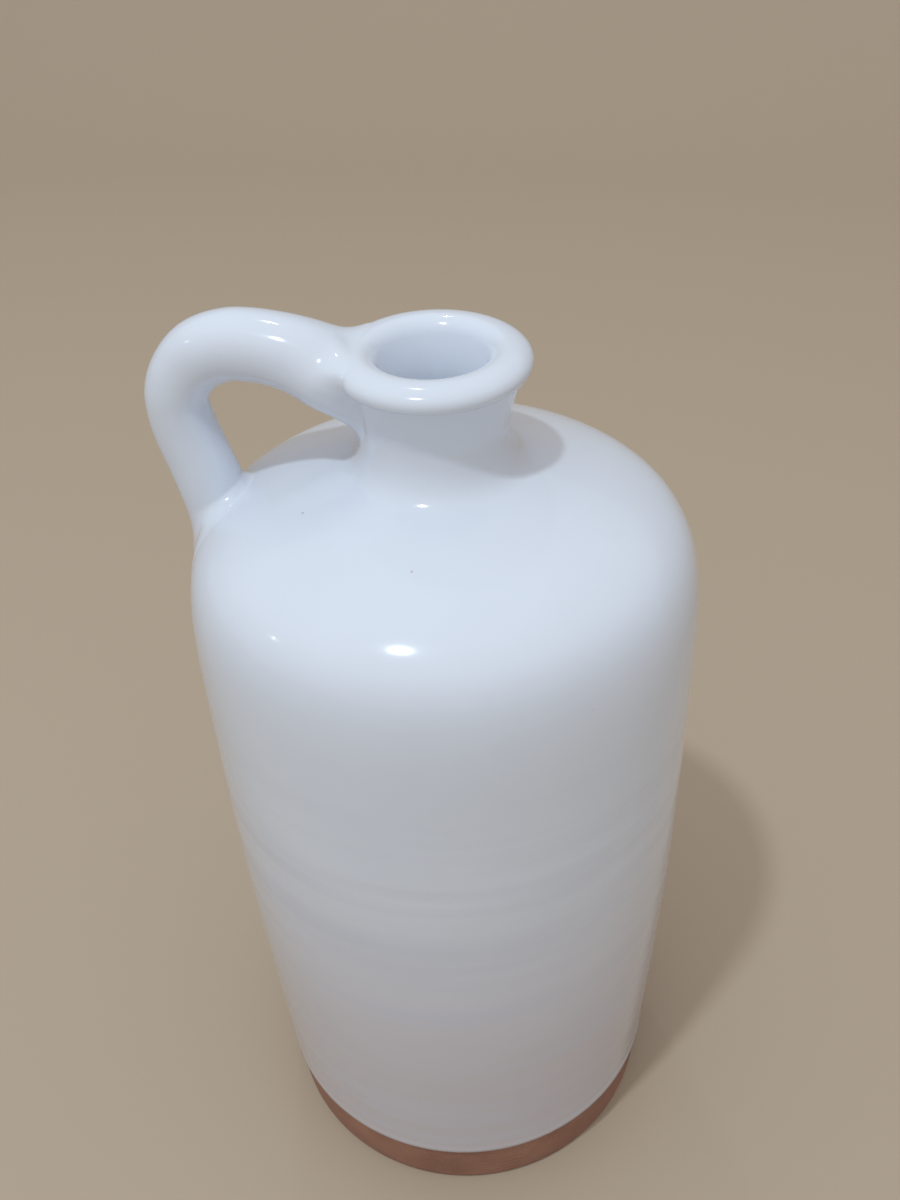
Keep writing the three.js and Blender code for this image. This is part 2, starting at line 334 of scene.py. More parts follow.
def makeWheelTree():
    tree = bpy.data.node_groups.new("pottersWheel", "GeometryNodeTree")
    tree.is_modifier = True
    for name, kind, _ in wheelInputs:
        tree.interface.new_socket(name, in_out="INPUT", socket_type=kind)
    tree.interface.new_socket("Turned", in_out="OUTPUT", socket_type="NodeSocketGeometry")
    link = tree.links.new
    given = addNode(tree, "NodeGroupInput", (-1600, 0)).outputs
    taken = addNode(tree, "NodeGroupOutput", (1800, 0)).inputs

    # one row of the grid for each point of the outline, one column for each step round the wheel
    size = addNode(tree, "GeometryNodeAttributeDomainSize", (-1400, 300), {"component": "MESH"})
    link(given["Outline"], size.inputs["Geometry"])
    rows = size.outputs["Point Count"]
    columns = mathNode(tree, "ADD", (-1400, 120), given["Turns"], 1)
    grid = addNode(tree, "GeometryNodeMeshGrid", (-1150, 300))
    link(columns, grid.inputs["Vertices X"])
    link(rows, grid.inputs["Vertices Y"])
    index = addNode(tree, "GeometryNodeInputIndex", (-1400, -60)).outputs[0]
    row = mathNode(tree, "MODULO", (-1150, -60), index, rows)
    passed = mathNode(tree, "DIVIDE", (-1150, -220), index, rows)
    column = mathNode(tree, "FLOOR", (-1000, -220), passed)
    turnShare = mathNode(tree, "DIVIDE", (-850, -220), column, given["Turns"])
    turn = mathNode(tree, "MULTIPLY", (-700, -220), turnShare, math.tau)

    def sampled(name, kind, place):
        # a value of the outline's own point for this row
        if name == "position":
            field = addNode(tree, "GeometryNodeInputPosition", place).outputs[0]
        else:
            source = addNode(tree, "GeometryNodeInputNamedAttribute", place, {"data_type": kind})
            source.inputs["Name"].default_value = name
            field = source.outputs["Attribute"]
        beside = (place[0] + 180, place[1])
        settings = {"data_type": kind, "domain": "POINT"}
        sample = addNode(tree, "GeometryNodeSampleIndex", beside, settings)
        link(given["Outline"], sample.inputs["Geometry"])
        link(field, sample.inputs["Value"])
        link(row, sample.inputs["Index"])
        return sample.outputs[0]

    def turned(vector, place):
        node = addNode(tree, "ShaderNodeVectorRotate", place, {"rotation_type": "Z_AXIS"})
        link(vector, node.inputs["Vector"])
        link(turn, node.inputs["Angle"])
        return node.outputs[0]

    crisp = sampled("position", "FLOAT_VECTOR", (-900, 700))
    soft = sampled("softPlace", "FLOAT_VECTOR", (-900, 520))
    outward = sampled("outward", "FLOAT_VECTOR", (-900, -420))
    ringShare = sampled("ringShare", "FLOAT", (-900, -600))
    edgeShare = sampled("edgeShare", "FLOAT", (-900, -780))

    # the crease under the lip is softened on the handle's side
    apart = mathNode(tree, "SUBTRACT", (-500, -160), turn, given["Soft Side"])
    away = mathNode(tree, "ABSOLUTE", (-350, -160), apart)
    fade = addNode(tree, "ShaderNodeMapRange", (-180, -160), {"interpolation_type": "SMOOTHSTEP"})
    link(away, fade.inputs["Value"])
    link(given["Soft From"], fade.inputs["From Min"])
    link(given["Soft To"], fade.inputs["From Max"])
    fade.inputs["To Min"].default_value = 1.0
    fade.inputs["To Max"].default_value = 0.0
    shape = addNode(tree, "ShaderNodeMix", (0, 600), {"data_type": "VECTOR"})
    link(fade.outputs[0], shape.inputs["Factor"])
    link(crisp, shape.inputs[4])
    link(soft, shape.inputs[5])
    base = turned(shape.outputs[1], (200, 600))
    lean = turned(outward, (-300, -420))

    # throwing rings drift slowly round the wall, and the wall wobbles
    pitch = mathNode(tree, "DIVIDE", (200, -60), 1.0, given["Ring Pitch"])
    drift = wheelMarks["ringDrift"]
    stretch = addNode(tree, "ShaderNodeCombineXYZ", (360, -60), values={"X": drift, "Y": drift})
    link(pitch, stretch.inputs["Z"])

    def noiseAt(vector, place, detail):
        node = addNode(tree, "ShaderNodeTexNoise", place, {"noise_dimensions": "4D"})
        node.inputs["Scale"].default_value = 1.0
        node.inputs["Detail"].default_value = detail
        link(vector, node.inputs["Vector"])
        link(given["Seed"], node.inputs["W"])
        return mathNode(tree, "SUBTRACT", (place[0] + 180, place[1]), node.outputs[0], 0.5)

    stretched = vectorNode(tree, "MULTIPLY", (520, 0), base, stretch.outputs[0])
    ringNoise = noiseAt(stretched.outputs[0], (700, 0), wheelMarks["ringDetail"])
    loose = mathNode(tree, "DIVIDE", (360, -240), 1.0, given["Wobble Size"])
    wide = vectorNode(tree, "SCALE", (520, -240), base)
    link(loose, wide.inputs["Scale"])
    wobbleNoise = noiseAt(wide.outputs[0], (700, -240), wheelMarks["wobbleDetail"])
    rings = mathNode(tree, "MULTIPLY", (1050, 0), ringNoise, given["Ring Depth"])
    wobble = mathNode(tree, "MULTIPLY", (1050, -200), wobbleNoise, given["Wobble Depth"])
    marks = mathNode(tree, "ADD", (1120, -100), rings, wobble)
    depth = mathNode(tree, "MULTIPLY", (1200, -60), marks, ringShare)
    shift = vectorNode(tree, "SCALE", (1300, -200), lean)
    link(depth, shift.inputs["Scale"])

    # the lower edge of the coat waves a little
    waveDepth = mathNode(tree, "MULTIPLY", (950, -500), given["Edge Wave"], edgeShare)
    lift = mathNode(tree, "MULTIPLY", (1100, -420), wobbleNoise, waveDepth)
    wave = addNode(tree, "ShaderNodeCombineXYZ", (1250, -420))
    link(lift, wave.inputs["Z"])
    marked = vectorNode(tree, "ADD", (1380, 60), base, shift.outputs[0])
    moved = vectorNode(tree, "ADD", (1420, -100), marked.outputs[0], wave.outputs[0])

    place = addNode(tree, "GeometryNodeSetPosition", (1300, 300))
    weld = addNode(tree, "GeometryNodeMergeByDistance", (1430, 300), values={"Distance": wheelMarks["weld"]})
    smooth = addNode(tree, "GeometryNodeSetShadeSmooth", (1500, 300))
    real = addNode(tree, "GeometryNodeRealizeInstances", (1600, 300))
    finish = addNode(tree, "GeometryNodeSetMaterial", (1700, 300))
    link(moved.outputs[0], place.inputs["Position"])
    link(given["Finish"], finish.inputs["Material"])
    before = grid.outputs["Mesh"]
    for step in (place, weld, smooth, real, finish):
        link(before, step.inputs["Geometry"])
        before = step.outputs[0]
    link(before, taken["Turned"])
    return tree


def signedVolume(mesh):
    mesh.calc_loop_triangles()
    corners = np.empty(len(mesh.vertices) * 3, np.float32)
    mesh.vertices.foreach_get("co", corners)
    corners = corners.reshape(-1, 3).astype(float)
    triangles = np.empty(len(mesh.loop_triangles) * 3, np.int32)
    mesh.loop_triangles.foreach_get("vertices", triangles)
    a, b, c = (corners[triangles.reshape(-1, 3)[:, k]] for k in range(3))
    return float((a * np.cross(b, c)).sum() / 6)


def faceOutward(mesh):
    if signedVolume(mesh) < 0:
        mesh.flip_normals()


def turnOnWheel(tree, name, finish, sizes, run, softRun, outward, ringShare, edgeShare):
    def upright(rows):
        return np.stack([rows[:, 0], np.zeros(len(rows)), rows[:, 1]], 1)

    outline = bpy.data.meshes.new(name)
    outline.from_pydata(upright(run).tolist(), [(k, k + 1) for k in range(len(run) - 1)], [])
    for key, kind, field, data in (
        ("softPlace", "FLOAT_VECTOR", "vector", upright(softRun)),
        ("outward", "FLOAT_VECTOR", "vector", upright(outward)),
        ("ringShare", "FLOAT", "value", ringShare),
        ("edgeShare", "FLOAT", "value", edgeShare),
    ):
        stored = outline.attributes.new(key, kind, "POINT").data
        stored.foreach_set(field, np.ravel(data).astype(np.float32))
    piece = bpy.data.objects.new(name, outline)
    scene.collection.objects.link(piece)
    wheel = piece.modifiers.new("wheel", "NODES")
    wheel.node_group = tree
    sockets = {item.name: item.identifier for item in tree.interface.items_tree if item.in_out == "INPUT"}
    for socket, _, key in wheelInputs:
        if key in sizes:
            wheel[sockets[socket]] = sizes[key]
    wheel[sockets["Finish"]] = finish
    turned = piece.evaluated_get(bpy.context.evaluated_depsgraph_get())
    solid = bpy.data.meshes.new_from_object(turned)
    piece.modifiers.clear()
    piece.data = solid
    solid.name = name
    faceOutward(solid)
    print(name, "turned:", len(solid.polygons), "faces")
    return piece


# Materials

def groupTree(name, inputs, outputs):
    tree = bpy.data.node_groups.new(name, "ShaderNodeTree")
    for key, kind in inputs:
        tree.interface.new_socket(key, in_out="INPUT", socket_type=kind)
    for key, kind in outputs:
        tree.interface.new_socket(key, in_out="OUTPUT", socket_type=kind)
    given = addNode(tree, "NodeGroupInput", (-900, 0)).outputs
    taken = addNode(tree, "NodeGroupOutput", (700, 0)).inputs
    return tree, given, taken


def makeCloudyTone():
    # two tones that drift into each other in soft clouds
    colour, value = "NodeSocketColor", "NodeSocketFloat"
    tree, given, taken = groupTree(
        "cloudyTone",
        [("Thick", colour), ("Thin", colour), ("Cloud Size", value), ("Contrast", value)],
        [("Tone", colour), ("Cloud", value)],
    )
    link = tree.links.new
    place = addNode(tree, "ShaderNodeTexCoord", (-900, -300)).outputs["Object"]
    scale = mathNode(tree, "DIVIDE", (-700, 100), 1.0, given["Cloud Size"])
    clouds = addNode(tree, "ShaderNodeTexNoise", (-500, 0), values={"Detail": 4.0, "Roughness": 0.55})
    link(place, clouds.inputs["Vector"])
    link(scale, clouds.inputs["Scale"])
    centred = mathNode(tree, "SUBTRACT", (-300, 0), clouds.outputs[0], 0.5)
    spread = mathNode(tree, "MULTIPLY_ADD", (-150, 0), centred, given["Contrast"], 0.5)
    link(mixNode(tree, (200, 100), spread, given["Thick"], given["Thin"]), taken["Tone"])
    link(spread, taken["Cloud"])
    return tree


grainMarks = {
    "stretch": (60.0, 60.0, 1600.0),  # drag marks are long round the pot and narrow up it
    "gritScale": 420.0,
    "gritEdge": (0.12, 0.24),
}


def makeFineGrain():
    # grit and short drag marks that run round the pot
    value = "NodeSocketFloat"
    tree, given, taken = groupTree(
        "fineGrain",
        [("Grain Size", value), ("Drag", value)],
        [("Height", value), ("Grit", value)],
    )
    link = tree.links.new
    place = addNode(tree, "ShaderNodeTexCoord", (-900, -300)).outputs["Object"]
    scale = mathNode(tree, "DIVIDE", (-700, 100), 1.0, given["Grain Size"])
    grain = addNode(tree, "ShaderNodeTexNoise", (-450, 150), values={"Detail": 3.0})
    link(place, grain.inputs["Vector"])
    link(scale, grain.inputs["Scale"])
    dragged = vectorNode(tree, "MULTIPLY", (-650, -200), place, grainMarks["stretch"])
    marks = addNode(tree, "ShaderNodeTexNoise", (-450, -150), values={"Scale": 1.0, "Detail": 2.0})
    link(dragged.outputs[0], marks.inputs["Vector"])
    height = mathNode(tree, "MULTIPLY_ADD", (-150, 0), marks.outputs[0], given["Drag"], grain.outputs[0])
    cells = addNode(tree, "ShaderNodeTexVoronoi", (-450, -450), values={"Scale": grainMarks["gritScale"]})
    link(place, cells.inputs["Vector"])
    grit = rampNode(tree, (-150, -450), cells.outputs["Distance"], grainMarks["gritEdge"], (1.0, 0.0))
    link(height, taken["Height"])
    link(grit, taken["Grit"])
    return tree


cloudyTone = makeCloudyTone()
fineGrain = makeFineGrain()


def newMaterial(name):
    material = bpy.data.materials.new(name)
    material.use_nodes = True
    tree = material.node_tree
    tree.nodes.clear()
    shader = addNode(tree, "ShaderNodeBsdfPrincipled", (600, 0))
    output = addNode(tree, "ShaderNodeOutputMaterial", (900, 0))
    tree.links.new(shader.outputs[0], output.inputs["Surface"])
    return material, tree, shader


def placeGroup(tree, group, place, values):
    return addNode(tree, "ShaderNodeGroup", place, {"node_tree": group}, values)


def addBump(tree, shader, height, strength, distance):
    bump = addNode(tree, "ShaderNodeBump", (300, -400), values={"Strength": strength, "Distance": distance})
    tree.links.new(height, bump.inputs["Height"])
    tree.links.new(bump.outputs[0], shader.inputs["Normal"])


glazeLook = {
    "thick": (0.725, 0.795, 0.915, 1),
    "thin": (0.665, 0.725, 0.825, 1),
    "foot": (0.565, 0.55, 0.605, 1),  # towards the foot: thinner glaze over the clay, and painted shade of the darker lower wall
    "footGlazeAndShadeRange": (0.035, 0.135),  # heights over which that thinning and painted shade fade out
    "streak": (0.56, 0.60, 0.715, 1),  # thin places along the throwing rings
    "streakShare": 0.5,
    "streakEdge": (0.45, 0.75),
    "streakSize": (0.11, 0.0065),  # round the wall, and up it
    "streakRange": (0.12, 0.155),  # heights over which they fade out
    "cloudSize": 0.045,
    "contrast": 1.3,
    "gloss": (0.075, 0.15),  # roughness, from the glassiest to the dullest place
    "ripple": 0.02,
    "rippleSize": 0.006,
    "rippleDepth": 0.001,
    "ior": 1.52,
    "speck": (0.55, 0.53, 0.53, 1),
    "speckCore": 0.45,  # share of a speck's radius that is fully coloured
    "specks": [  # place on the pot and radius
        ((-0.0233, -0.0156, 0.1846), 0.00042),
        ((0.0006, -0.0302, 0.1838), 0.00036),
        ((0.0338, -0.0391, 0.1629), 0.00036),
    ],
}


def makeGlaze():
    look = glazeLook
    material, tree, shader = newMaterial("whiteGlaze")
    link = tree.links.new
    tone = placeGroup(tree, cloudyTone, (-500, 200), {
        "Thick": look["thick"],
        "Thin": look["thin"],
        "Cloud Size": look["cloudSize"],
        "Contrast": look["contrast"],
    })
    place = addNode(tree, "ShaderNodeTexCoord", (-900, -200)).outputs["Object"]
    parts = addNode(tree, "ShaderNodeSeparateXYZ", (-700, 450))
    link(place, parts.inputs[0])
    height = parts.outputs["Z"]
    # the glaze darkens towards the foot: partly thinner glaze, partly painted shade of the lower wall
    low = rampNode(tree, (-500, 450), height, look["footGlazeAndShadeRange"], (1.0, 0.0), True)
    body = mixNode(tree, (-200, 300), low, tone.outputs["Tone"], look["foot"])
    # faint streaks round the wall, fading out on the shoulder
    across, up = (1 / size for size in look["streakSize"])
    drawn = vectorNode(tree, "MULTIPLY", (-700, 800), place, (across, across, up))
    bands = addNode(tree, "ShaderNodeTexNoise", (-500, 800), values={"Scale": 1.0, "Detail": 2.0})
    link(drawn.outputs[0], bands.inputs["Vector"])
    thin = rampNode(tree, (-300, 800), bands.outputs[0], look["streakEdge"], (0.0, look["streakShare"]))
    wall = rampNode(tree, (-300, 600), height, look["streakRange"], (1.0, 0.0), True)
    streaks = mathNode(tree, "MULTIPLY", (-100, 700), thin, wall)
    streaked = mixNode(tree, (0, 400), streaks, body, look["streak"])
    # pinholes
    mask = None
    for k, (spot, radius) in enumerate(look["specks"]):
        row = -300 - 160 * k
        apart = vectorNode(tree, "DISTANCE", (-700, row), place, spot).outputs["Value"]
        dot = rampNode(tree, (-500, row), apart, (radius * look["speckCore"], radius), (1.0, 0.0))
        mask = dot if mask is None else mathNode(tree, "MAXIMUM", (-300, row), mask, dot)
    link(mixNode(tree, (100, 200), mask, streaked, look["speck"]), shader.inputs["Base Color"])
    gloss = rampNode(tree, (100, -60), tone.outputs["Cloud"], (0.0, 1.0), look["gloss"])
    link(gloss, shader.inputs["Roughness"])
    waveScale = 1 / look["rippleSize"]
    waves = addNode(tree, "ShaderNodeTexNoise", (-100, -500), values={"Scale": waveScale, "Detail": 1.0})
    link(place, waves.inputs["Vector"])
    addBump(tree, shader, waves.outputs[0], look["ripple"], look["rippleDepth"])
    shader.inputs["IOR"].default_value = look["ior"]
    return material


clayLook = {
    "pale": (0.36, 0.185, 0.125, 1),
    "deep": (0.235, 0.115, 0.08, 1),
    "cloudSize": 0.014,
    "contrast": 1.6,
    "grit": (0.47, 0.30, 0.22, 1),
    "gritShare": 0.14,
    "grainSize": 0.0007,
    "drag": 1.6,
    "grain": 0.35,  # strength of the relief
    "grainDepth": 0.0004,
    "dullness": (0.74, 0.9),  # roughness
}
slipLook = dict(clayLook, pale=(0.42, 0.23, 0.16, 1), deep=(0.31, 0.16, 0.11, 1), drag=0.3, grain=0.2)


def makeClay(name, look):
    material, tree, shader = newMaterial(name)
    link = tree.links.new
    tone = placeGroup(tree, cloudyTone, (-500, 200), {
        "Thick": look["pale"],
        "Thin": look["deep"],
        "Cloud Size": look["cloudSize"],
        "Contrast": look["contrast"],
    })
    grain = placeGroup(tree, fineGrain, (-500, -200), {
        "Grain Size": look["grainSize"],
        "Drag": look["drag"],
    })
    share = mathNode(tree, "MULTIPLY", (-200, 0), grain.outputs["Grit"], look["gritShare"])
    link(mixNode(tree, (0, 200), share, tone.outputs["Tone"], look["grit"]), shader.inputs["Base Color"])
    dull = rampNode(tree, (100, -60), tone.outputs["Cloud"], (0.0, 1.0), look["dullness"])
    link(dull, shader.inputs["Roughness"])
    addBump(tree, shader, grain.outputs["Height"], look["grain"], look["grainDepth"])
    return material


whiteGlaze = makeGlaze()
bareClay = makeClay("bareClay", clayLook)
joiningSlip = makeClay("joiningSlip", slipLook)
print("materials made")


# Glaze coat of the pot: lining, lip and outside in one skin, ending in a rounded edge above the foot
coat = {
    "turns": 144,
    "ringDepth": 0.00018,
    "ringPitch": 0.0075,
    "wobbleDepth": 0.0006,
    "wobbleSize": 0.045,
    "edgeWave": 0.0012,
    "waveHeight": 0.012,  # how far up the wall the edge's wave is felt
    "edgeRoll": 0.00022,  # how much the coat thickens at its lower edge
    "edgeHeight": 0.0022,
    "backing": 0.00045,  # coat thickness to its hidden side
    "backStep": 4,  # the hidden side has one row in this many
    "ringStart": 0.002,  # above the glaze line
    "ringTop": (0.100, 0.148),  # the rings fade out up the shoulder
    "softSide": math.pi,  # the handle's side, where the crease under the lip is soft
    "softFrom": math.radians(33),
    "softTo": math.radians(46),
    "seed": 3.0,
}


def coatRuns():
    outside = outsideRun()
    soft = softenedRun(outside)
    lining = liningRun()
    glazeLine, backing, backRows = pot["glazeLine"], coat["backing"], slice(None, None, -coat["backStep"])
    face = np.concatenate([lining, outside[::-1][1:]])
    softFace = np.concatenate([lining, soft[::-1][1:]])
    outward = leftNormals(softFace)
    isOutside = np.where(np.arange(len(face)) >= len(lining), 1, 0)
    # the coat's lower edge thickens and rolls under
    roll = isOutside * (1 - smoothStep(face[:, 1], glazeLine, glazeLine + coat["edgeHeight"]))
    thickened = coat["edgeRoll"] * roll[:, None] * outward
    face = face + thickened
    softFace = softFace + thickened
    tip = face[-1] - 0.5 * backing * outward[-1] - np.array([0, 0.5 * backing])
    back = (softFace - backing * outward)[backRows]
    back[0] = face[-1] - (backing + coat["edgeRoll"] * 2) * outward[-1]
    back[-1][0] = 0
    run = np.concatenate([face, [tip], back])
    softRun = np.concatenate([softFace, [tip], back])
    run[0][0] = softRun[0][0] = 0
    lean = np.concatenate([outward, [outward[-1]], outward[backRows]])
    height = run[:, 1]
    rings = 1 - smoothStep(height, *coat["ringTop"])
    rings *= smoothStep(height, pot["floor"], glazeLine + coat["ringStart"])
    edge = np.concatenate([isOutside, [1], isOutside[backRows]])
    edge = edge * (1 - smoothStep(height, glazeLine, glazeLine + coat["waveHeight"]))
    return (run, softRun, lean, rings, edge), outside, soft


wheelTree = makeWheelTree()
coatRows, crispOutside, softOutside = coatRuns()
glazeCoat = turnOnWheel(wheelTree, "glaze_coat", whiteGlaze, coat, *coatRows)

# Clay of the pot: bare foot and base, and the wall under the glaze
clayPot = {
    "turns": 144,
    "ringDepth": 0.00012,
    "ringPitch": 0.0011,
    "wobbleDepth": 0.0002,
    "wobbleSize": 0.03,
    "ringStart": (0.001, 0.003),  # heights between which the rings come in, and go out
    "ringEnd": (0.03, 0.05),
    "neckGap": 0.002,  # how far under the neck's root the inside stops
    "seed": 11.0,
}


def clayRuns():
    foot = wallRun(0, pointCounts["foot"])
    foot[:, 0] -= pot["glaze"]
    bevel = pot["footBevel"]
    above = foot[foot[:, 1] > bevel]
    shoulder = shoulderRun(pointCounts["clayShoulder"])
    shoulder = shoulder + pot["glaze"] * leftNormals(shoulder)
    base = bezier([(0, 0), (foot[0][0] - bevel, 0)], pointCounts["base"])
    corner = bezier([base[-1], (foot[0][0], 0), above[0]], pointCounts["footBevel"])
    lining = liningRun()
    inside = lining[: np.argmax(lining[:, 1] > pot["neckRoot"] - clayPot["neckGap"])]
    inside = inside - pot["glaze"] * leftNormals(inside)
    inside[0][0] = 0
    run = np.concatenate([base, corner[1:-1], chain(above, shoulder), inside[::-2]])
    run[-1][0] = 0
    height = run[:, 1]
    rings = smoothStep(height, *clayPot["ringStart"]) * (1 - smoothStep(height, *clayPot["ringEnd"]))
    return run, run, -leftNormals(run), rings, np.zeros(len(run))


clayBody = turnOnWheel(wheelTree, "clay_pot", bareClay, clayPot, *clayRuns())


# Clay of the neck: its own thrown ring under the glaze, from the seat to the lip
def neckClayRuns():
    outside = softenedRun(outsideRun())
    lining = liningRun()
    outer = outside + pot["glaze"] * leftNormals(outside)
    inner = lining - pot["glaze"] * leftNormals(lining)
    seatHeight = pot["neckRoot"] + pot["seat"] / 2
    outer = outer[np.argmax(outside[:, 1] > seatHeight):]
    inner = inner[np.argmax(lining[:, 1] > seatHeight):]
    run = np.concatenate([outer, inner[::-2][1:], outer[:1]])
    plain = np.zeros(len(run))
    return run, run, np.zeros(run.shape), plain, plain


clayNeck = turnOnWheel(wheelTree, "clay_neck", bareClay, clayPot, *neckClayRuns())

# Handle: a pulled rod from lip to shoulder, its ends smeared onto the pot
handle = {
    "crownRadius": 0.0063,
    "legRadius": 0.0058,
    "footRadius": 0.0061,
    "coat": 0.0005,
    "root": (0.0071, 0.2010),  # middle of the rod inside the neck: out from the axis, and up
    "crown": (0.0372, 0.2113),
    "side": (0.05135, 0.19805),
    "landing": (0.0473, 0.1783),
    "armPull": (0.35, 0.40),  # pulls of the middle line, as shares of the way to the next place
    "crownRun": 0.42,
    "bendRound": 0.5,
    "legRun": 0.33,
    "landingRun": 0.38,
    "landingLean": 0.0012,
    "steps": 200,  # fine steps along arm, bend and leg, and how many of them make a ring
    "ringStep": 5,
    "rootSpread": 1.75,  # widening and thickening of the arm towards the neck
    "rootGrowth": 1.17,
    "flareRange": (0.1, 0.9),  # shares of the arm
    "armFrom": 0.52,  # where the plain rod begins on the arm, and ends on the leg
    "legTo": 1.0,
    "slant": 0.0025,  # how much further the leg's outer side runs down than its middle
    "slantFrom": 0.75,  # where on the leg that begins
    "around": 96,
    "unevenness": 0.0003,  # of a rod pulled by hand
    "unevenSize": 0.010,
    "evenRows": (8, 30),  # rows from an end over which the unevenness comes in
    "swell": (-0.0277, -0.0058, 0.2143),  # middle of a broad swelling on top of the arm
    "swellSize": 0.0045,
    "swellRise": 0.0006,
    "clayShare": 0.75,  # the clay's ends spread less than the coat's
    "tuck": 0.0003,  # how far the smeared edge dips under the pot's coat
    "rootCap": -0.0125,  # hidden middles of the two ends
    "landingCap": 0.003,
}
upperEnd = {  # the loop on the lip and neck where the arm runs out
    "top": pot["lipTop"],  # heights on the pot's outline
    "side": 0.2045,  # where the loop is widest
    "bottom": 0.1922,
    "halfAngle": math.radians(36),
    "squareness": 0.6,
    "topWidening": 0.2,
    "rodPull": (0.4, 0.4, 0.4),  # share of the way that the rod keeps its direction: above, beside and below
    "potPull": (0.002, 0.0018, 0.007),  # how far it runs along the pot
    "fullness": (0.0, 0.0012, 0.0008),  # how far the smeared clay stands off it
    "rows": 22,
}
lowerEnd = {  # the loop on the shoulder and wall where the leg is smeared out
    "top": 0.1803,
    "side": 0.1680,
    "bottom": 0.149,
    "halfAngle": math.radians(16),
    "squareness": 0.82,
    "topWidening": 0.0,
    "rodPull": (0.1, 0.14, 0.35),
    "potPull": (0.001, 0.004, 0.017),
    "fullness": (0.0, 0.0005, 0.0022),
    "rows": 26,
}


def handleCurves():
    h = handle
    root, crown, side, landing = (np.array(h[key]) for key in ("root", "crown", "side", "landing"))

    def between(a, b, part):
        return a + (b - a) * part

    arm = [
        root,
        (between(root[0], crown[0], h["armPull"][0]), between(root[1], crown[1], h["armPull"][1])),
        (between(crown[0], root[0], h["crownRun"]), crown[1]),
        crown,
    ]
    bend = [
        crown,
        (between(crown[0], side[0], h["bendRound"]), crown[1]),
        (side[0], between(side[1], crown[1], h["bendRound"])),
        side,
    ]
    leg = [
        side,
        (side[0], between(side[1], landing[1], h["legRun"])),
        (landing[0] + h["landingLean"], between(landing[1], side[1], h["landingRun"])),
        landing,
    ]
    return arm, bend, leg


def rodRings():
    # middles, headings, half sizes and slant of the plain rod, from the arm to the leg
    h, steps = handle, handle["steps"]
    arm, bend, leg = (bezier(points, steps) for points in handleCurves())
    share = np.linspace(0, 1, steps + 1)
    first = int(round(h["armFrom"] * steps))
    last = int(round(h["legTo"] * steps))
    middles = chain(arm[first:], bend, leg[: last + 1])
    armSteps, legSteps = steps + 1 - first, last
    taper = np.concatenate([
        np.full(armSteps, h["crownRadius"]),
        h["crownRadius"] + (h["legRadius"] - h["crownRadius"]) * smoothStep(share[1:], 0, 1),
        np.linspace(h["legRadius"], h["footRadius"], legSteps + 1)[1:],
    ])
    flare = 1 - smoothStep(share[first:], *h["flareRange"])
    thick, wide = taper + h["coat"], taper + h["coat"]
    thick[:armSteps] += taper[:armSteps] * (h["rootGrowth"] - 1) * flare
    wide[:armSteps] += taper[:armSteps] * (h["rootSpread"] - 1) * flare
    heading = np.gradient(middles, lengths(middles), axis=0)
    heading /= np.linalg.norm(heading, axis=1, keepdims=True)
    slant = np.zeros(len(middles))
    slant[-legSteps:] = h["slant"] * smoothStep(np.linspace(0, 1, legSteps), h["slantFrom"], 1)
    # every few steps and the last one, with no short ring before it
    keep = np.arange(0, len(middles), h["ringStep"])
    if keep[-1] > len(middles) - h["ringStep"] + 1:
        keep = keep[:-1]
    keep = np.append(keep, len(middles) - 1)
    return [rows[keep] for rows in (middles, heading, thick, wide, slant)]


def rodSurface():
    middles, heading, thick, wide, slant = rodRings()
    angle = np.linspace(0, math.tau, handle["around"], endpoint=False)
    across = thick[:, None] * np.cos(angle)
    further = slant[:, None] * np.cos(angle)
    x = -middles[:, :1] + across * heading[:, 1:] - further * heading[:, :1]
    y = wide[:, None] * np.sin(angle)
    z = middles[:, 1:] + across * heading[:, :1] + further * heading[:, 1:]
    return np.stack([x, y, z], 2), angle


def potPlace(length, turn):
    # a place on the pot's outside, by length down from the lip's crown and angle from the handle
    numbers = np.arange(len(softOutside))
    rows = np.interp(length, lengths(softOutside[::-1]), numbers)
    soft = 1 - smoothStep(np.abs(turn), coat["softFrom"], coat["softTo"])
    radius, height = (
        soft * np.interp(rows, numbers, softOutside[::-1, k])
        + (1 - soft) * np.interp(rows, numbers, crispOutside[::-1, k])
        for k in range(2)
    )
    return np.stack([-radius * np.cos(turn), radius * np.sin(turn), height], -1)


def lengthTo(height):
    # down the outline from the lip's crown to a height
    downward = softOutside[::-1]
    return np.interp(-height, -downward[:, 1], lengths(downward))


def unit(vectors):
    return vectors / np.linalg.norm(vectors, axis=1, keepdims=True)


def onPot(length, turn):
    # the place, and the ways down, round and out of the pot there
    step, swing = 0.0003, 0.01
    place = potPlace(length, turn)
    downward = unit(potPlace(length + step, turn) - potPlace(np.maximum(length - step, 0), turn))
    sideways = unit(potPlace(length, turn + swing) - potPlace(length, turn - swing))
    return place, downward, sideways, unit(np.cross(sideways, downward))


def shared(values, topward):
    # a value between those for the top, the sides and the bottom of a loop
    top, side, bottom = values
    up, down = np.clip(topward, 0, 1) ** 2, np.clip(-topward, 0, 1) ** 2
    return (side + (top - side) * up + (bottom - side) * down)[:, None]


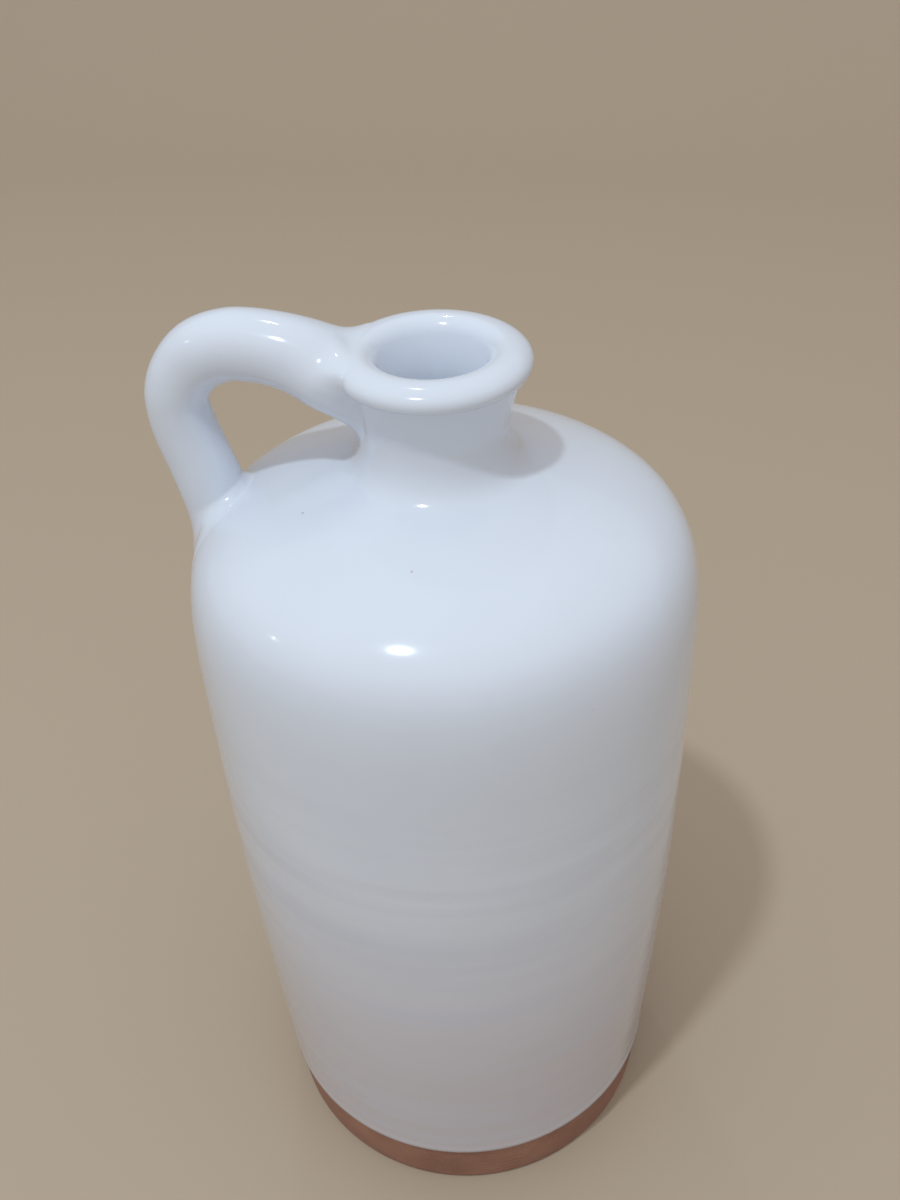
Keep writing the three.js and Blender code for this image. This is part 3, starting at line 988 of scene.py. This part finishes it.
def smearedEnd(ring, before, angle, end, isUpper, share):
    # rows of points from the rod's last ring to a loop on the pot, in line with both
    def squared(value):
        return np.sign(value) * np.abs(value) ** end["squareness"]

    topward = squared(np.cos(angle) if isUpper else -np.cos(angle))
    sideward = squared(np.sin(angle))
    top, side, bottom = (lengthTo(end[key]) for key in ("top", "side", "bottom"))
    down = side - np.where(topward > 0, side - top, bottom - side) * topward
    middle, half = (top + bottom) / 2, share * (bottom - top) / 2
    turn = share * end["halfAngle"] * sideward * (1 + end["topWidening"] * topward)
    place, downward, sideways, outward = onPot(middle + share * (down - middle), turn)
    spanSide = np.hypot(place[:, 0], place[:, 1]) * end["halfAngle"]
    leave = unit((sideward / spanSide)[:, None] * sideways - (topward / half)[:, None] * downward)
    along = unit(ring - before)
    apart = np.linalg.norm(place - ring, axis=1, keepdims=True)
    pull = shared(end["potPull"], topward)
    full = shared(end["fullness"], topward)
    controls = [
        ring,
        ring + shared(end["rodPull"], topward) * apart * along,
        place - pull * leave + full * outward,
        place,
    ]
    rows = []
    for k in range(1, end["rows"] + 1):
        part = math.sin(math.pi / 2 * k / end["rows"])
        rest = 1 - part
        weights = [rest**3, 3 * part * rest**2, 3 * part**2 * rest, part**3]
        rows.append(sum(w * c for w, c in zip(weights, controls)))
    return rows, place + handle["tuck"] * (leave - outward)


def handleMesh(name, material, inset, share):
    rod, angle = rodSurface()
    upperRows, upperSunk = smearedEnd(rod[0], rod[1], angle, upperEnd, True, share)
    lowerRows, lowerSunk = smearedEnd(rod[-1], rod[-2], angle, lowerEnd, False, share)
    rings = [upperSunk] + upperRows[::-1] + list(rod) + lowerRows + [lowerSunk]
    around = handle["around"]
    last = len(rings) - 1
    ends = np.stack([upperSunk.mean(0), lowerSunk.mean(0)])
    ends[0][0] = handle["rootCap"]
    ends[1][0] += handle["landingCap"]
    places = np.concatenate(rings + [ends])
    faces = []
    for k in range(around):
        nextOne = (k + 1) % around
        for low in range(0, last * around, around):
            high = low + around
            faces.append((low + k, low + nextOne, high + nextOne, high + k))
        faces.append((len(places) - 2, nextOne, k))
        faces.append((len(places) - 1, last * around + k, last * around + nextOne))
    mesh = bpy.data.meshes.new(name)
    mesh.from_pydata(places.tolist(), [], faces)
    mesh.polygons.foreach_set("use_smooth", np.ones(len(faces), bool))
    mesh.update()
    faceOutward(mesh)
    mesh.update()
    # hand-pulled unevenness, a swelling, and the clay's depth under the glaze
    ringNumbers = np.arange(last + 1)
    toEnd = np.append(np.repeat(np.minimum(ringNumbers, last - ringNumbers), around), [0, 0])
    normals = np.empty(len(places) * 3, np.float32)
    mesh.vertices.foreach_get("normal", normals)
    bumps = np.array([noise.noise(Vector(place) / handle["unevenSize"]) for place in places])
    swellAway = np.linalg.norm(places - np.array(handle["swell"]), axis=1) / handle["swellSize"]
    rise = bumps * handle["unevenness"] * smoothStep(toEnd, *handle["evenRows"]) - inset
    rise += handle["swellRise"] * np.exp(-(swellAway**2) / 2)
    places = places + normals.reshape(-1, 3) * rise[:, None]
    mesh.vertices.foreach_set("co", places.astype(np.float32).ravel())
    mesh.update()
    # the seams where the coat runs under the pot's own are kept sharp
    seamRings = {1, last - 1}
    for each in mesh.edges:
        a, b = (int(v) // around for v in each.vertices)
        each.use_edge_sharp = a == b and a in seamRings
    mesh.materials.append(material)
    piece = bpy.data.objects.new(name, mesh)
    scene.collection.objects.link(piece)
    print(name, "made:", len(faces), "faces")
    return piece


handleCoat = handleMesh("handle_coat", whiteGlaze, 0, 1)
handleClay = handleMesh("handle_clay", bareClay, handle["coat"], handle["clayShare"])

# Every piece rides on the one body, and the solids it stands for are hidden
for piece, slot, nodes in (
    (glazeCoat, "white_glaze", ("outer_glaze", "inner_glaze")),
    (handleCoat, "white_glaze", ("handle_glaze",)),
    (clayBody, "red_clay", ("thrown_body",)),
    (clayNeck, "red_clay", ("neck_collar",)),
    (handleClay, "red_clay", ("handle",)),
):
    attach(piece, "root")
    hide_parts(*nodes)

# The slip beds stay as they are in the frame
for name in ("neck_slip", "upper_handle_slip", "lower_handle_slip"):
    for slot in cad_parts[name].material_slots:
        slot.material = joiningSlip

# Floor and backdrop in one sweep
stage = {
    "halfWidth": 2.5,
    "front": -2.0,
    "back": 1.3,
    "sweepRadius": 0.6,
    "top": 0.9,
    "colour": (0.46, 0.38, 0.29, 1),
    "roughness": 0.55,
    "sweepCount": 24,
}


def makeStage():
    s = stage
    radius = s["sweepRadius"]
    sweep = ellipseArc((s["back"] - radius, radius), radius, radius, -90, 0, s["sweepCount"])
    line = [(s["front"], 0.0)] + sweep.tolist() + [(s["back"], s["top"])]
    places = [(side * s["halfWidth"], y, z) for y, z in line for side in (-1, 1)]
    faces = [(2 * k, 2 * k + 1, 2 * k + 3, 2 * k + 2) for k in range(len(line) - 1)]
    mesh = bpy.data.meshes.new("floor")
    mesh.from_pydata(places, [], faces)
    mesh.polygons.foreach_set("use_smooth", np.ones(len(faces), bool))
    material, _, shader = newMaterial("paleFloor")
    shader.inputs["Base Color"].default_value = s["colour"]
    shader.inputs["Roughness"].default_value = s["roughness"]
    mesh.materials.append(material)
    floorPiece = bpy.data.objects.new("floor", mesh)
    scene.collection.objects.link(floorPiece)


makeStage()

# Lamps: a key above and in front, weak ones behind and on the left, and a sky brighter overhead
lamps = {
    "key": {"towards": (-0.16, -0.355, 0.92), "far": 1.4, "size": 0.08, "power": 6.2},
    "second": {"towards": (-0.18, 0.42, 0.89), "far": 1.4, "size": 0.05, "power": 0.45},
    "side": {"towards": (-0.82, -0.28, 0.49), "far": 1.4, "size": 0.05, "power": 0.15},
}
lampColour = (0.82, 0.93, 1.0)
sky = {
    "colour": (1.0, 0.975, 0.96, 1),
    "even": 0.31,
    "overhead": 0.42,
    "low": 0.1,  # where the overhead light begins
    "sides": {  # broad light from one side each: direction and strength
        "front": ((0, -1, 0), 0.3),
        "left": ((-1, 0, 0), 0.18),
        "right": ((1, 0, 0), 0.15),
    },
}
aim = Vector((0, 0, 0.12))


def makeLamps():
    for name, lamp in lamps.items():
        light = bpy.data.lights.new(name, "AREA")
        light.shape = "DISK"
        light.size = lamp["size"]
        light.energy = lamp["power"]
        light.color = lampColour
        holder = bpy.data.objects.new(name, light)
        holder.location = aim + Vector(lamp["towards"]).normalized() * lamp["far"]
        holder.rotation_euler = (aim - holder.location).to_track_quat("-Z", "Y").to_euler()
        scene.collection.objects.link(holder)
    world = bpy.data.worlds.new("sky")
    world.use_nodes = True
    tree = world.node_tree
    backing = tree.nodes["Background"]
    backing.inputs["Color"].default_value = sky["colour"]
    direction = addNode(tree, "ShaderNodeTexCoord", (-700, 0)).outputs["Generated"]
    height = addNode(tree, "ShaderNodeSeparateXYZ", (-500, 0))
    tree.links.new(direction, height.inputs[0])
    climb = rampNode(tree, (-300, 0), height.outputs["Z"], (sky["low"], 1.0), (0.0, 1.0), True)
    strength = mathNode(tree, "MULTIPLY_ADD", (-100, 0), climb, sky["overhead"], sky["even"])
    for k, (way, share) in enumerate(sky["sides"].values()):
        row = -200 - 160 * k
        facing = vectorNode(tree, "DOT_PRODUCT", (-500, row), direction, way).outputs["Value"]
        facing = mathNode(tree, "MAXIMUM", (-300, row), facing, 0.0)
        lobe = mathNode(tree, "MULTIPLY", (-100, row), facing, facing)
        strength = mathNode(tree, "MULTIPLY_ADD", (100, row), lobe, share, strength)
    tree.links.new(strength, backing.inputs["Strength"])
    scene.world = world


makeLamps()

# Camera at the photograph's place: above and in front, with the handle turned a little away
view = {
    "place": (0.0415, -0.1955, 0.3109),
    "azimuth": math.radians(-11.71),  # turn of the line of sight from +Y towards -X
    "pitch": math.radians(38.19),
    "roll": math.radians(-2.89),
    "lens": 36.0,
    "sensor": 36.0,
    "nearest": 0.01,
}


def makeCamera():
    a, p, r = view["azimuth"], view["pitch"], view["roll"]
    ahead = Vector((math.sin(a) * math.cos(p), math.cos(a) * math.cos(p), -math.sin(p)))
    right = Vector((math.cos(a), -math.sin(a), 0))
    up = right.cross(ahead)
    rolledRight = math.cos(r) * right + math.sin(r) * up
    rolledUp = -math.sin(r) * right + math.cos(r) * up
    camera = bpy.data.cameras.new("camera")
    camera.lens = view["lens"]
    camera.sensor_width = view["sensor"]
    camera.clip_start = view["nearest"]
    holder = bpy.data.objects.new("camera", camera)
    basis = Matrix((rolledRight, rolledUp, -ahead)).transposed().to_4x4()
    holder.matrix_world = Matrix.Translation(Vector(view["place"])) @ basis
    scene.collection.objects.link(holder)
    scene.camera = holder


makeCamera()
print("stage, lamps and camera made")

bpy.context.view_layer.update()
